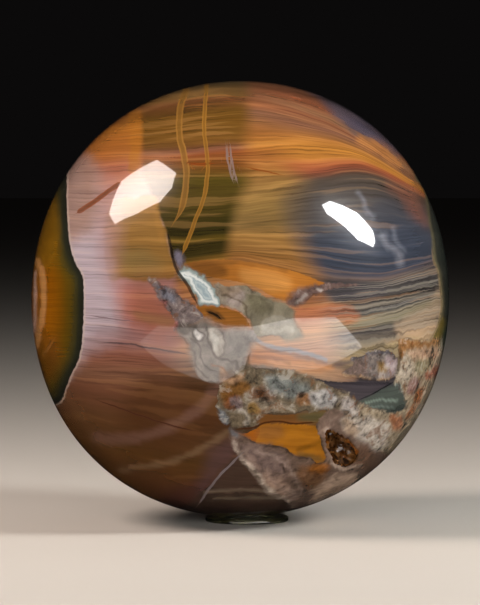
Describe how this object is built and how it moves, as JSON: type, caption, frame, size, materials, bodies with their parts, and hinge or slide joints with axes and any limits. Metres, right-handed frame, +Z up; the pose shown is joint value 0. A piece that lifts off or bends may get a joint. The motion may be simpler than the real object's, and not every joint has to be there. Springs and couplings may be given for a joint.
{
  "type": "polished agate sphere",
  "caption": "Polished display sphere of banded agate with an open crystal pocket, set on a small clear ring stand.",
  "frame": {"origin": "on the surface that the ring stands on, under the middle of the stone's width and depth", "axes": "+Z is up along the stone's longer axis, +X is to the viewer's right and -Y is the front, with the crystal pocket low on its right"},
  "size_m": [0.1274, 0.1274, 0.1344],
  "materials": {
    "agate": "polished",
    "drusy_quartz": "natural crystal faces",
    "clear_acrylic": "clear gloss"
  },
  "bodies": {
    "root": {"agate_stone": "agate", "crystal_crust": "drusy_quartz", "display_ring": "clear_acrylic"}
  },
  "joints": []
}
